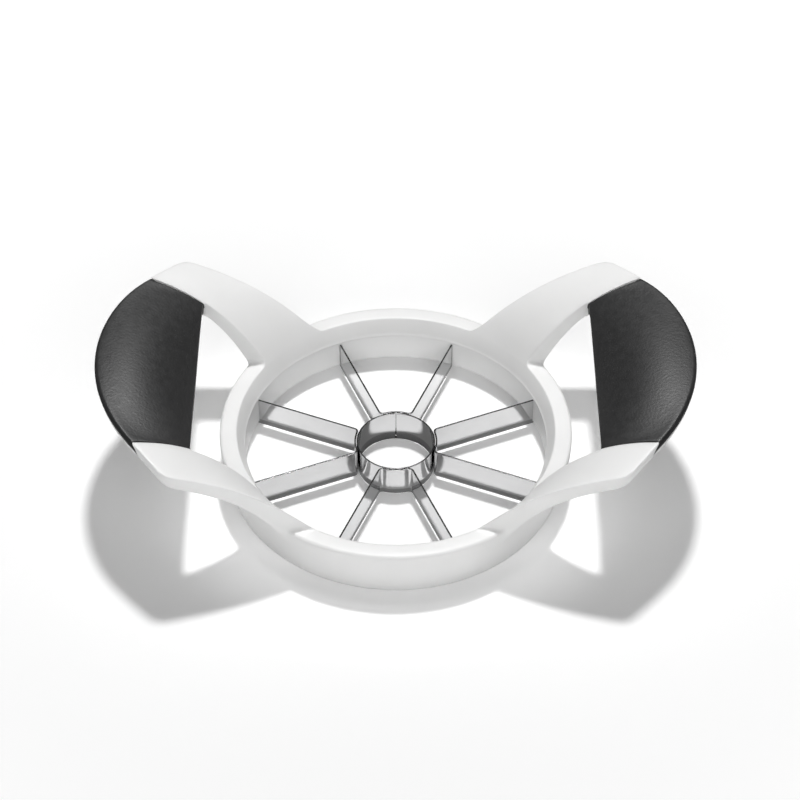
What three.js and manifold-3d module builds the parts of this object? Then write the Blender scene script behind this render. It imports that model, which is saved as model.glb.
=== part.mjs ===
// Push-down apple slicer and corer: a white moulded frame with four swept arms and two soft grips,
// holding a steel wheel of eight blades round a coring tube.
// Millimetres, +X right, +Y away, +Z up, origin at the middle of the ring's foot.

import * as THREE from 'three';
import { mergeVertices } from 'three/addons/utils/BufferGeometryUtils.js';
import Module from 'manifold-3d';

// Ring of the frame
const ringHeight = 17.5;
const rimOuterRadius = 53.5;
const rimWidth = 5.1;
const skirtTaper = 2.7; // how far the outer wall closes in at the foot
const mouthDepth = 5.2; // depth of the funnel mouth below the rim
const mouthRun = 2.4; // how far the mouth closes in over that depth
const lipLand = 0.3;
const rimEdgeRadius = 0.4;
const footWidth = 2.3;

// Blade carrier ring
const carrierWall = 2.0;
const carrierLift = 2.3; // foot of the carrier above the foot of the frame
const slotDepth = 1.3;
const slotSeatDepth = 1.0; // how far a blade stands in its slot

// Coring tube and blades
const corerRadius = 12.0; // outside
const corerWall = 0.45;
const corerLift = 0.3;
const corerEdgeHeight = 3.0;
const seamWidth = 0.25;
const bladeDrop = 6.4; // tops of the blades below the rim
const bladeHeight = 10.1;
const bladeThickness = 0.5;
const bladeBendRadius = 1.3;
const groundEdgeHeight = 2.1;
const groundEdgeThickness = 0.12;
const bladeCount = 8;

// Swept arms and grips
const armRise = 30.1; // top of the grips above the rim
const dishRun = 39.6; // from the rim's inner edge to where the dish is level
const armWall = 4.2;
const rootOverlap = 0.2; // how far the arms' roots reach into the mouth
const rootThickening = 3.4;
const rootThickeningRun = 18;
const armEdgeRadius = 0.8;
const armUnderRadius = 0.3; // along the hand holes
const outerDraft = 0.5; // how far an arm's outer wall leans in over its depth
const armTipHalfWidth = 46.5; // the arms' outer corners from the middle plane
const armTipSetback = 6.3; // the same corners beyond the grips' inner edges
const armTipRounding = 4.2;
const handGap = 5.7; // between the rim and the ends of a grip's inner edge, seen from above
const handHoleHalfLength = 31.7;
const handHoleRounding = 1.5; // where an arm's inner edge turns into the grip's
const handHoleBow = 0.4; // how far the grip's inner edge bows out at its middle
const gripWidth = 29.4;
const gripArcRadius = 53.2;
const gripCrown = 2.0; // rise of the inner edge at its middle
const gripWall = 1.8;
const gripLipDepth = 2.7; // on the outer side; on the inner side the lip covers the whole edge
const gripLipWidth = 1.6;
const gripEdgeRadius = 1.2;
const bridgeInset = 0.35; // bridge set back from the sides of its grip
const bridgeStep = 0.25; // bridge's underside above the arms' underside

// Clearances and overruns
const seatGap = 0.3;
const steelGap = 0.2;
const gripGap = 0.2;
const overrun = 1;

// Plain numbers
const dishPower = 2.44;
const flattenShare = 0.63; // how much the level curves of the dish open out towards the grips
const rootOuterAngle = THREE.MathUtils.degToRad(60);
const rootInnerAngle = THREE.MathUtils.degToRad(34);
const gripCornerAngle = THREE.MathUtils.degToRad(41.6);
const ringSegments = 96;
const corerSegments = 48;
const skirtSteps = 6;
const armSteps = 18;
const gripSteps = 22;
const cornerSteps = 2; // of either on its half of the hand hole's corner
const roundSteps = 2;
const acrossShares = [0.12, 0.27, 0.42, 0.58, 0.73, 0.88];

// Worked out from the sizes above
const rimInnerRadius = rimOuterRadius - rimWidth;
const footRadius = rimOuterRadius - skirtTaper;
const lipRadius = rimInnerRadius - mouthRun;
const seatRadius = footRadius - footWidth;
const seatTop = ringHeight - mouthDepth - lipLand;
const carrierOuterRadius = seatRadius - seatGap;
const carrierInnerRadius = carrierOuterRadius - carrierWall;
const bladeTop = ringHeight - bladeDrop;
const bladeBottom = bladeTop - bladeHeight;
const bladeEndRadius = carrierInnerRadius + slotSeatDepth;
const bladeHalfAngle = Math.PI / bladeCount;
const hugRadius = corerRadius + steelGap + bladeThickness / 2;
const gripInnerX = rimOuterRadius + handGap;
const gripOuterX = gripInnerX + gripWidth;
const gripArcCentre = gripOuterX - gripArcRadius;
const gripTotal = armWall - bridgeStep;

const wasm = await Module();
wasm.setup();

// Solids

function toSolid(geometry) {
  const bare = geometry.clone();
  bare.deleteAttribute('normal');
  bare.deleteAttribute('uv');
  const merged = mergeVertices(bare);
  return new wasm.Manifold(new wasm.Mesh({
    numProp: 3,
    vertProperties: new Float32Array(merged.getAttribute('position').array),
    triVerts: new Uint32Array(merged.index.array),
  }));
}

function toGeometry(solid) {
  const mesh = solid.getMesh();
  const geometry = new THREE.BufferGeometry();
  geometry.setAttribute('position', new THREE.BufferAttribute(mesh.vertProperties, mesh.numProp));
  geometry.setIndex(new THREE.BufferAttribute(mesh.triVerts, 1));
  geometry.computeVertexNormals();
  return geometry;
}

function flipFaces(index) {
  const flipped = [];
  for (let i = 0; i < index.length; i += 3) flipped.push(index[i], index[i + 2], index[i + 1]);
  return flipped;
}

function mirrored(geometry, x, y) {
  const copy = geometry.clone();
  copy.scale(x, y, 1);
  if (x * y < 0) copy.setIndex(flipFaces(copy.index.array));
  return copy;
}

// Triangles that fill a flat outline and turn the same way round as it does.
function fillOutline(outline) {
  const triangles = THREE.ShapeUtils.triangulateShape(outline, []);
  if (!THREE.ShapeUtils.isClockWise(outline)) return triangles;
  return triangles.map(([a, b, c]) => [a, c, b]);
}

// Joins rings of points, each with the same count, and closes the two ends.
// capOutlines are the end rings drawn flat, for filling them in.
function loft(rings, capOutlines) {
  const count = rings[0].length;
  const index = [];
  for (let i = 0; i < rings.length - 1; i += 1) {
    for (let j = 0; j < count; j += 1) {
      const a = i * count + j;
      const b = i * count + ((j + 1) % count);
      index.push(a, b, b + count, a, b + count, a + count);
    }
  }
  const last = (rings.length - 1) * count;
  for (const [a, b, c] of fillOutline(capOutlines[0])) index.push(a, c, b);
  for (const [a, b, c] of fillOutline(capOutlines[1])) index.push(last + a, last + b, last + c);

  const geometry = new THREE.BufferGeometry();
  const positions = rings.flat().flatMap((p) => [p.x, p.y, p.z]);
  geometry.setAttribute('position', new THREE.Float32BufferAttribute(positions, 3));
  geometry.setIndex(volumeOf(positions, index) < 0 ? flipFaces(index) : index);
  return geometry;
}

function volumeOf(positions, index) {
  const corner = (i) => new THREE.Vector3().fromArray(positions, i * 3);
  let sum = 0;
  for (let i = 0; i < index.length; i += 3) {
    sum += corner(index[i]).dot(corner(index[i + 1]).cross(corner(index[i + 2])));
  }
  return sum / 6;
}

// A flat outline at several heights, such as a blade whose lower edge is ground thin.
function loftOutlines(levels) {
  const rings = levels.map(({ outline, z }) => outline.map((p) => new THREE.Vector3(p.x, p.y, z)));
  return loft(rings, [levels[0].outline, levels.at(-1).outline]);
}

// A closed profile of radius and height, turned round the upright axis.
function revolve(profile) {
  const closed = [...profile, profile[0]].map(([radius, z]) => new THREE.Vector2(radius, z));
  const geometry = new THREE.LatheGeometry(closed, ringSegments);
  geometry.rotateX(Math.PI / 2);
  geometry.deleteAttribute('normal');
  geometry.deleteAttribute('uv');
  const merged = mergeVertices(geometry);
  const positions = Array.from(merged.getAttribute('position').array);
  const index = Array.from(merged.index.array);
  if (volumeOf(positions, index) < 0) merged.setIndex(flipFaces(index));
  return merged;
}

// A rounded corner as [inset, drop] pairs, from the top face round to the side.
function roundCorner(radius) {
  const pairs = [];
  for (let i = 0; i <= roundSteps; i += 1) {
    const angle = (i / roundSteps) * (Math.PI / 2);
    pairs.push([radius * (1 - Math.sin(angle)), radius * (1 - Math.cos(angle))]);
  }
  return pairs;
}

// Frame

function skirtPoints() {
  const top = ringHeight - rimEdgeRadius;
  const points = [];
  for (let i = 1; i <= skirtSteps; i += 1) {
    const share = i / skirtSteps;
    points.push([rimOuterRadius - skirtTaper * (1 - share) ** 2, top * share]);
  }
  return points;
}

function frameRing() {
  const rimCut = rimEdgeRadius * Math.cos(Math.PI / 4);
  const mouthSlope = mouthRun / mouthDepth;
  return revolve([
    [seatRadius, 0],
    [footRadius - rimEdgeRadius, 0],
    [footRadius, rimEdgeRadius],
    ...skirtPoints().slice(1),
    [rimOuterRadius - rimEdgeRadius + rimCut, ringHeight - rimEdgeRadius + rimCut],
    [rimOuterRadius - rimEdgeRadius, ringHeight],
    [rimInnerRadius + rimEdgeRadius, ringHeight],
    [rimInnerRadius - rimEdgeRadius * mouthSlope, ringHeight - rimEdgeRadius],
    [lipRadius, ringHeight - mouthDepth],
    [lipRadius, seatTop],
    [seatRadius, seatTop],
  ]);
}

// The arms and grips lie on one dished surface that rises from the rim's inner edge.
// Its level curves start as circles at the rim and open out to near straight lines at the grips.
function dishAt(x, y) {
  const spread = THREE.MathUtils.clamp((Math.hypot(x, y) - rimInnerRadius) / dishRun, 0, 1);
  const reach = Math.hypot(x, y * (1 - flattenShare * spread ** 2));
  const fall = 1 - Math.min((reach - rimInnerRadius) / dishRun, 1);
  const slope = (armRise * dishPower * fall ** (dishPower - 1)) / dishRun;
  return { height: ringHeight + armRise * (1 - fall ** dishPower), tilt: Math.hypot(1, slope) };
}

function armWallAt(x, y) {
  const out = (Math.hypot(x, y) - rimInnerRadius) / rootThickeningRun;
  return armWall + rootThickening * THREE.MathUtils.clamp(1 - out, 0, 1) ** 2;
}

// Stations cross an arm or a grip from its inner edge to its outer edge, seen from above.
function rootPoint(angle) {
  const radius = rimInnerRadius - rootOverlap;
  return new THREE.Vector2(radius * Math.cos(angle), radius * Math.sin(angle));
}

function gripArcPoint(angle) {
  return new THREE.Vector2(gripArcCentre + gripArcRadius * Math.cos(angle), gripArcRadius * Math.sin(angle));
}

function armOuterEdge() {
  const root = rootPoint(rootOuterAngle);
  const tip = new THREE.Vector2(gripInnerX + armTipSetback, armTipHalfWidth);
  const gripCorner = gripArcPoint(gripCornerAngle);
  const beforeTip = tip.clone().sub(root).setLength(-armTipRounding).add(tip);
  const afterTip = gripCorner.clone().sub(tip).setLength(armTipRounding).add(tip);
  const path = new THREE.Path().moveTo(root.x, root.y);
  path.lineTo(beforeTip.x, beforeTip.y);
  path.quadraticCurveTo(tip.x, tip.y, afterTip.x, afterTip.y);
  path.lineTo(gripCorner.x, gripCorner.y);
  return path;
}

// Half of the hand hole's edge, from the arm's root round the corner to the middle of the grip.
// The arm and the grip part halfway round the corner. The other values are shares of the length.
function handHoleEdge() {
  const root = rootPoint(rootInnerAngle);
  const corner = new THREE.Vector2(gripInnerX, handHoleHalfLength);
  const beforeCorner = corner.clone().sub(root).setLength(-handHoleRounding).add(corner);
  const afterCorner = corner.clone().setY(handHoleHalfLength - handHoleRounding);
  const middleX = gripInnerX + handHoleBow;
  const path = new THREE.Path().moveTo(root.x, root.y);
  path.lineTo(beforeCorner.x, beforeCorner.y);
  path.quadraticCurveTo(corner.x, corner.y, afterCorner.x, afterCorner.y);
  path.quadraticCurveTo(middleX, afterCorner.y / 2, middleX, 0);
  const [start, end, total] = path.getCurveLengths();
  return { path, cornerStart: start / total, parting: (start + end) / 2 / total, cornerEnd: end / total };
}

// Goes evenly from the first value to the second over the steps up to turn, then to the third.
function shareAt(step, turn, steps, [first, second, third]) {
  if (step <= turn) return THREE.MathUtils.lerp(first, second, step / turn);
  return THREE.MathUtils.lerp(second, third, (step - turn) / (steps - turn));
}

function armStations() {
  const { path, cornerStart, parting } = handHoleEdge();
  const outerEdge = armOuterEdge();
  const rootRadius = rimInnerRadius - rootOverlap;
  const rootBow = rootRadius * (1 - Math.cos((rootOuterAngle - rootInnerAngle) / 2));
  const stations = [];
  for (let i = 0; i <= armSteps; i += 1) {
    const share = i / armSteps;
    stations.push({
      inner: path.getPointAt(shareAt(i, armSteps - cornerSteps, armSteps, [0, cornerStart, parting])),
      outer: outerEdge.getPointAt(share),
      bow: rootBow * (1 - share) ** 2,
      crown: 0,
    });
  }
  return stations;
}

// The ends are set in by a length, or run over by it if it is negative.
function gripStations(inset) {
  const { path, parting, cornerEnd } = handHoleEdge();
  const halfSteps = gripSteps / 2;
  const spots = [{ share: parting + inset / path.getLength(), angle: gripCornerAngle - inset / gripArcRadius }];
  for (let i = inset > 0 ? 1 : 0; i <= halfSteps; i += 1) {
    const share = shareAt(i, cornerSteps, halfSteps, [parting, cornerEnd, 1]);
    spots.push({ share, angle: gripCornerAngle * (1 - i / halfSteps) });
  }
  const half = spots.map(({ share, angle }) => ({
    inner: path.getPointAt(share),
    outer: gripArcPoint(angle),
    bow: 0,
    crown: gripCrown * (1 - (angle / gripCornerAngle) ** 2),
  }));
  const otherHalf = half.slice(0, -1).reverse().map((station) => ({
    ...station,
    inner: new THREE.Vector2(station.inner.x, -station.inner.y),
    outer: new THREE.Vector2(station.outer.x, -station.outer.y),
  }));
  return [...half, ...otherHalf];
}

function depthOf(depth, spot) {
  return typeof depth === 'function' ? depth(spot) : depth;
}

// Sweeps a section along stations. A section point is [share across, inset, depth],
// with the depth square to the dished surface.
function sweepBand(stations, sectionAt) {
  const outlines = [];
  const rings = stations.map(({ inner, outer, bow, crown }) => {
    const across = outer.clone().sub(inner);
    const width = across.length();
    const side = new THREE.Vector2(across.y, -across.x).normalize();
    const outline = [];
    const ring = sectionAt().map(([share, inset, depth]) => {
      const along = share + inset / width;
      const spot = inner.clone().addScaledVector(across, along);
      spot.addScaledVector(side, bow * 4 * along * (1 - along));
      const { height, tilt } = dishAt(spot.x, spot.y);
      const z = height + crown * (1 - along) - depthOf(depth, spot) * tilt;
      const point = new THREE.Vector3(spot.x, spot.y, Math.max(z, seatTop + 2 * lipLand));
      outline.push(new THREE.Vector2(along * width, point.z));
      return point;
    });
    outlines.push(outline);
    return ring;
  });
  return loft(rings, [outlines[0], outlines.at(-1)]);
}

function armSection() {
  const corner = roundCorner(armEdgeRadius);
  const wall = (spot) => armWallAt(spot.x, spot.y);
  const under = (drop) => (spot) => wall(spot) - drop;
  return [
    ...corner.toReversed().map(([inset, drop]) => [0, inset, drop]),
    ...acrossShares.map((share) => [share, 0, 0]),
    ...corner.map(([inset, drop]) => [1, -inset, drop]),
    ...corner.toReversed().map(([inset, drop]) => [1, -inset - outerDraft, under(drop)]),
    ...acrossShares.toReversed().map((share) => [share, 0, wall]),
    ...roundCorner(armUnderRadius).map(([inset, drop]) => [0, inset, under(drop)]),
  ];
}

function bridgeSection() {
  const tongueInset = gripLipWidth + gripGap;
  const tongueTop = gripWall + gripGap;
  const flangeTop = gripLipDepth + gripGap;
  return [
    [0, tongueInset, tongueTop],
    ...acrossShares.slice(1, -1).map((share) => [share, 0, tongueTop]),
    [1, -tongueInset, tongueTop],
    [1, -tongueInset, flangeTop],
    [1, -bridgeInset, flangeTop],
    [1, -bridgeInset, gripTotal],
    ...acrossShares.slice(1, -1).reverse().map((share) => [share, 0, gripTotal]),
    [0, tongueInset, gripTotal],
  ];
}

function gripSection() {
  const corner = roundCorner(gripEdgeRadius);
  return [
    ...corner.toReversed().map(([inset, drop]) => [0, inset, drop]),
    ...acrossShares.map((share) => [share, 0, 0]),
    ...corner.map(([inset, drop]) => [1, -inset, drop]),
    [1, 0, gripLipDepth],
    [1, -gripLipWidth, gripLipDepth],
    [1, -gripLipWidth, gripWall],
    ...acrossShares.slice(1, -1).reverse().map((share) => [share, 0, gripWall]),
    [0, gripLipWidth, gripWall],
    [0, gripLipWidth, gripTotal],
    [0, 0, gripTotal],
  ];
}

function frameGeometry() {
  const arm = sweepBand(armStations(), armSection);
  const bridge = sweepBand(gripStations(-overrun), bridgeSection);
  let solid = toSolid(frameRing());
  for (const x of [-1, 1]) {
    solid = solid.add(toSolid(mirrored(bridge, x, 1)));
    for (const y of [-1, 1]) solid = solid.add(toSolid(mirrored(arm, x, y)));
  }
  return toGeometry(solid);
}

// Blade carrier ring

function carrierGeometry() {
  const ring = revolve([
    [carrierInnerRadius, carrierLift],
    [carrierOuterRadius, carrierLift],
    [carrierOuterRadius, seatTop],
    [carrierInnerRadius, seatTop],
  ]);
  const slotTop = bladeTop + seatGap;
  const slotBottom = carrierLift - overrun;
  const slot = new THREE.BoxGeometry(
    slotDepth + overrun,
    bladeThickness + 2 * seatGap,
    slotTop - slotBottom,
  );
  slot.translate(carrierInnerRadius + (slotDepth - overrun) / 2, 0, (slotTop + slotBottom) / 2);
  let solid = toSolid(ring);
  for (let i = 0; i < bladeCount; i += 1) {
    const turned = slot.clone().rotateZ((2 * i + 1) * bladeHalfAngle);
    solid = solid.subtract(toSolid(turned));
  }
  return toGeometry(solid);
}

// Coring tube

function corerOutline(outerRadius) {
  const innerRadius = corerRadius - corerWall;
  const seamHalfAngle = seamWidth / 2 / corerRadius;
  const start = Math.PI / 2 + seamHalfAngle;
  const sweep = 2 * Math.PI - 2 * seamHalfAngle;
  const outer = [];
  const inner = [];
  for (let i = 0; i <= corerSegments; i += 1) {
    const angle = start + (sweep * i) / corerSegments;
    const direction = new THREE.Vector2(Math.cos(angle), Math.sin(angle));
    outer.push(direction.clone().multiplyScalar(outerRadius));
    inner.push(direction.multiplyScalar(innerRadius));
  }
  return [...outer, ...inner.reverse()];
}

function corerGeometry() {
  return loftOutlines([
    { outline: corerOutline(corerRadius), z: bladeTop },
    { outline: corerOutline(corerRadius), z: corerLift + corerEdgeHeight },
    { outline: corerOutline(corerRadius - corerWall + groundEdgeThickness), z: corerLift },
  ]);
}

// Blade strips: two radial blades joined by a short arc that hugs the coring tube

function stripMiddleLine() {
  const along = new THREE.Vector2(Math.cos(bladeHalfAngle), -Math.sin(bladeHalfAngle));
  const across = new THREE.Vector2(-along.y, along.x);
  const bendDistance = Math.sqrt((hugRadius + bladeBendRadius) ** 2 - bladeBendRadius ** 2);
  const bendCentre = along.clone().multiplyScalar(bendDistance)
    .addScaledVector(across, bladeBendRadius);
  const bendSteps = 4;
  const hugSteps = 4;

  const half = [{ point: along.clone().multiplyScalar(bladeEndRadius), normal: across.clone().negate() }];
  const startAngle = across.clone().negate().angle();
  const endAngle = bendCentre.clone().negate().angle();
  for (let i = 0; i <= bendSteps; i += 1) {
    const angle = startAngle + (endAngle - startAngle) * (i / bendSteps);
    const normal = new THREE.Vector2(Math.cos(angle), Math.sin(angle));
    half.push({ point: bendCentre.clone().addScaledVector(normal, bladeBendRadius), normal });
  }
  const hugAngle = bendCentre.angle() - 2 * Math.PI;
  for (let i = 1; i <= hugSteps / 2; i += 1) {
    const angle = hugAngle * (1 - (2 * i) / hugSteps);
    const normal = new THREE.Vector2(-Math.cos(angle), -Math.sin(angle));
    half.push({ point: normal.clone().multiplyScalar(-hugRadius), normal });
  }
  const other = half.slice(0, -1).reverse().map(({ point, normal }) => ({
    point: new THREE.Vector2(point.x, -point.y),
    normal: new THREE.Vector2(normal.x, -normal.y),
  }));
  return [...half, ...other];
}

function stripOutline(thickness) {
  const line = stripMiddleLine();
  const offset = (distance) => line.map(({ point, normal }) => point.clone().addScaledVector(normal, distance));
  return [...offset(thickness / 2), ...offset(-thickness / 2).reverse()];
}

function stripGeometry() {
  return loftOutlines([
    { outline: stripOutline(bladeThickness), z: bladeTop },
    { outline: stripOutline(bladeThickness), z: bladeBottom + groundEdgeHeight },
    { outline: stripOutline(groundEdgeThickness), z: bladeBottom },
  ]);
}

// Finishes

const whitePlastic = () => new THREE.MeshStandardMaterial({ color: 0xf1f1ef, roughness: 0.32, metalness: 0 });
const softBlack = () => new THREE.MeshStandardMaterial({ color: 0x4a4a4c, roughness: 0.75, metalness: 0 });
const steel = () => new THREE.MeshStandardMaterial({ color: 0xc9cacc, roughness: 0.28, metalness: 1 });

function named(name, geometry, material) {
  const mesh = new THREE.Mesh(geometry, material);
  mesh.name = name;
  return mesh;
}

// Assembly

const group = new THREE.Group();
group.add(named('frame', frameGeometry(), whitePlastic()));
group.add(named('blade_carrier_ring', carrierGeometry(), whitePlastic()));
group.add(named('corer_tube', corerGeometry(), steel()));

['right', 'back', 'left', 'front'].forEach((side, i) => {
  const strip = named(`blade_strip_${side}`, stripGeometry(), steel());
  strip.rotation.z = (i * Math.PI) / 2;
  group.add(strip);
});

const grip = sweepBand(gripStations(gripGap), gripSection);
group.add(named('grip_left', mirrored(grip, -1, 1), softBlack()));
group.add(named('grip_right', grip, softBlack()));

export default group;
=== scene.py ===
from math import atan2, cos, exp, hypot, pi, radians, sin, sqrt

import bmesh
import bpy
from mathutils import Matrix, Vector


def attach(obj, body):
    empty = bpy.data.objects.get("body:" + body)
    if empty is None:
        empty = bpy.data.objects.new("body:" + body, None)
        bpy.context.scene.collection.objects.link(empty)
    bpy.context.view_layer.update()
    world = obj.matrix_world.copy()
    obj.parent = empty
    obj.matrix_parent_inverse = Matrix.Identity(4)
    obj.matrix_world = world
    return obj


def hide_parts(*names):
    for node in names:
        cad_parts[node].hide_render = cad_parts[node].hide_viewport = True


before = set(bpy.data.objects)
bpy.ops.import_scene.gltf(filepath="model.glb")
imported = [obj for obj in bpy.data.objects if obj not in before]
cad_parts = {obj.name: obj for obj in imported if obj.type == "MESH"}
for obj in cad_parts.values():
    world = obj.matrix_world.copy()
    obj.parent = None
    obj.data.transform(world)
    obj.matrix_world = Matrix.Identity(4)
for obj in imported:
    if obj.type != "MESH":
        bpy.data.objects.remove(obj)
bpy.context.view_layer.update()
print("frame loaded:", ", ".join(sorted(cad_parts)))


mergeDistance = 0.000002  # points nearer than this are one
mirrorDistance = 0.00001  # points this near a middle plane lie on it


# Small helpers for work in edit mode

def deselectAll():
    bpy.ops.object.select_all(action="DESELECT")


def makeActive(piece):
    deselectAll()
    piece.select_set(True)
    bpy.context.view_layer.objects.active = piece


def nameNew(name):
    piece = bpy.context.object
    piece.name = name
    piece.data.name = name
    return piece


def editMesh(piece):
    bpy.ops.object.mode_set(mode="EDIT")
    return bmesh.from_edit_mesh(piece.data)


def leaveEdit(piece):
    bmesh.update_edit_mesh(piece.data)
    bpy.ops.object.mode_set(mode="OBJECT")


def pickFaces(mesh, wanted):
    for face in mesh.faces:
        face.select_set(False)
    mesh.select_flush(False)
    for face in mesh.faces:
        if wanted(face):
            face.select_set(True)
    mesh.select_flush(True)


def applyModifier(piece, kind, **settings):
    makeActive(piece)
    modifier = piece.modifiers.new(kind.title(), kind)
    for key, value in settings.items():
        setattr(modifier, key, value)
    bpy.ops.object.modifier_apply(modifier=modifier.name)


def cleanAndSmooth(piece, angle):
    makeActive(piece)
    bpy.ops.object.mode_set(mode="EDIT")
    bpy.ops.mesh.select_all(action="SELECT")
    bpy.ops.mesh.remove_doubles(threshold=mergeDistance)
    bpy.ops.mesh.normals_make_consistent(inside=False)
    bpy.ops.object.mode_set(mode="OBJECT")
    bpy.ops.object.shade_smooth_by_angle(angle=radians(angle))


def copyPiece(piece, name):
    makeActive(piece)
    bpy.ops.object.duplicate()
    return nameNew(name)


def bakePlace(piece):
    makeActive(piece)
    bpy.ops.object.transform_apply(location=True, rotation=True, scale=True)


def mirrorPiece(piece, axes):
    # the cut faces are set true on the middle planes, then the piece is mirrored across them
    for vert in piece.data.vertices:
        for i, wanted in enumerate(axes):
            if wanted and abs(vert.co[i]) < mirrorDistance:
                vert.co[i] = 0
    applyModifier(piece, "MIRROR", use_axis=axes, use_clip=True, merge_threshold=mirrorDistance)


# Arms and grips lie on one dished surface that rises from the rim's inner edge

dish = {
    "foot": 0.0175,  # height of the rim
    "start": 0.0484,  # radius of the rim's inner edge
    "run": 0.0396,
    "rise": 0.0301,
    "power": 2.44,
    "flatten": 0.63,  # how far the level curves straighten out towards the grips
}


def dishAt(x, y):
    gone = min(max((hypot(x, y) - dish["start"]) / dish["run"], 0), 1)
    reach = hypot(x, y * (1 - dish["flatten"] * gone ** 2))
    fall = 1 - min((reach - dish["start"]) / dish["run"], 1)
    slope = dish["rise"] * dish["power"] * fall ** (dish["power"] - 1) / dish["run"]
    height = dish["foot"] + dish["rise"] * (1 - fall ** dish["power"])
    return height, hypot(1, slope)


def pathThrough(points):
    lengths = [0]
    for a, b in zip(points, points[1:]):
        lengths.append(lengths[-1] + (b - a).length)

    def pointAt(share):
        want = share * lengths[-1]
        i = next((i for i in range(1, len(points) - 1) if lengths[i] >= want), len(points) - 1)
        part = (want - lengths[i - 1]) / (lengths[i] - lengths[i - 1])
        return points[i - 1].lerp(points[i], part)

    return pointAt, lengths[-1]


def roundedTurn(before, corner, after, steps=8):
    turn = []
    for i in range(steps + 1):
        t = i / steps
        turn.append(before * (1 - t) ** 2 + corner * 2 * t * (1 - t) + after * t ** 2)
    return turn


arm = {
    "innerAngle": radians(34),
    "outerAngle": radians(60),
    "rootRadius": 0.0482,
    "tip": (0.0655, 0.0465),
    "tipRounding": 0.003,
    "wall": 0.0042,
    "rootThickening": 0.0034,
    "thickeningRun": 0.018,
    "edge": 0.00042,
    "underEdge": 0.0004,
    "outerDraft": 0.0005,
    "columns": 13,
    "skirtMeet": 0.0138,  # height where the underside leaves the skirt
    "innerFillet": 0.0026,  # rounding where an arm's side runs into the ring
    "outerFillet": 0.0016,
    "underFillet": 0.0013,
    "filletEnd": 0.085,
    "filletSteps": 6,
    "turnShare": 16 / 18,  # where along the arm its inner edge reaches the hole's corner
    "edgeShare": 0.35,  # near the ring the top edge's rounding is this share of the arm's rise
    "leastEdge": 0.00005,
    "flangeStart": 0.8,  # from here on the outer side makes room for the grip's slanted end
    "nearStations": (0.105, 0.13, 0.16, 0.2),
    "restStations": (0.25, 1, 18),
    "searchEnd": 0.4,  # an arm's sides cross the ring's circles before this share
    "searchSteps": 30,
}

hole = {
    "corner": (0.0592, 0.0317),
    "rounding": 0.0017,
    "bow": 0.0004,
    "bowSteps": 20,
}

gripShape = {
    "outerX": 0.0886,
    "arcRadius": 0.0532,
    "cornerAngle": radians(41.6),
    "crown": 0.002,
    "arch": 0.0024,  # soft lengthwise swelling of the grip's top
    "edgeArch": 0.0006,
    "edgeFade": 6,  # how suddenly the swelling fades towards the outer edge
    "dip": 0.0018,  # shallow dip beside each parting
    "dipRun": 0.006,
    "wall": 0.0018,
    "lipDepth": 0.0027,
    "lipWidth": 0.0016,
    "total": 0.00395,
    "edge": 0.0012,
    "innerEdge": 0.00018,
    "innerLean": 0.13,  # how much the inner side slants in towards its foot
    "outerLine": 0.0019,  # lines that keep the sides flat
    "innerLines": (0.003, 0.002, 0.001),
    "bevel": 0.0003,
    "columns": 19,
    "turnShare": 2 / 11,  # where along the grip its inner edge leaves the hole's corner
    "endStart": 0.004,
    "endRounding": 0.0015,
    "endDepth": 0.0016,  # what lies higher than this is rounded over at the ends
    "endRun": 0.036,
    "endSteps": 6,
    "slant": 0.003,
    "slantEnd": 0.2,
    "nearStations": (0.05, 0.08, 0.11, 0.145),
    "restStations": (0.19, 1, 18),
    "gap": 0.00012,
    "bridgeInset": 0.00035,
    "bridgeNearStations": (0.0, 0.05, 0.1, 0.15),
    "bridgeRestStations": (0.2, 1, 12),
}
gripSide = gripShape["arcRadius"] * gripShape["cornerAngle"]


def polar(radius, angle):
    return Vector((radius * cos(angle), radius * sin(angle)))


def gripArc(angle):
    return Vector((gripShape["outerX"] - gripShape["arcRadius"], 0)) + polar(gripShape["arcRadius"], angle)


def makeInnerEdge():
    root = polar(arm["rootRadius"], arm["innerAngle"])
    corner = Vector(hole["corner"])
    before = corner - (corner - root).normalized() * hole["rounding"]
    after = corner - Vector((0, hole["rounding"]))
    middle = Vector((corner.x + hole["bow"], 0))
    turn = roundedTurn(before, corner, after)
    bowed = roundedTurn(after, Vector((middle.x, after.y / 2)), middle, hole["bowSteps"])
    pointAt, total = pathThrough([root, *turn, *bowed[1:]])
    start = (before - root).length / total
    turnLength = pathThrough(turn)[1] / total
    return pointAt, start, start + turnLength / 2, start + turnLength


def makeOuterEdge():
    root = polar(arm["rootRadius"], arm["outerAngle"])
    tip = Vector(arm["tip"])
    end = gripArc(gripShape["cornerAngle"])
    before = tip - (tip - root).normalized() * arm["tipRounding"]
    after = tip + (end - tip).normalized() * arm["tipRounding"]
    return pathThrough([root, *roundedTurn(before, tip, after, 12), end])


innerEdge, cornerStart, parting, cornerEnd = makeInnerEdge()
outerEdge, outerLength = makeOuterEdge()
rootBow = arm["rootRadius"] * (1 - cos((arm["outerAngle"] - arm["innerAngle"]) / 2))


def armInner(u):
    turnShare = arm["turnShare"]
    if u <= turnShare:
        return innerEdge(cornerStart * u / turnShare)
    return innerEdge(cornerStart + (parting - cornerStart) * (u - turnShare) / (1 - turnShare))


def armPoint(u, along, inset, depth):
    inner, outer = armInner(u), outerEdge(u)
    across = outer - inner
    along += inset / across.length
    side = Vector((across.y, -across.x)).normalized()
    spot = inner + across * along + side * rootBow * (1 - u) ** 2 * 4 * along * (1 - along)
    height, tilt = dishAt(spot.x, spot.y)
    return Vector((spot.x, spot.y, height - depth * tilt))


def armWallAt(u, along):
    spot = armPoint(u, along, 0, 0)
    out = min((hypot(spot.x, spot.y) - dish["start"]) / arm["thickeningRun"], 1)
    return arm["wall"] + arm["rootThickening"] * (1 - max(out, 0)) ** 2


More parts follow.
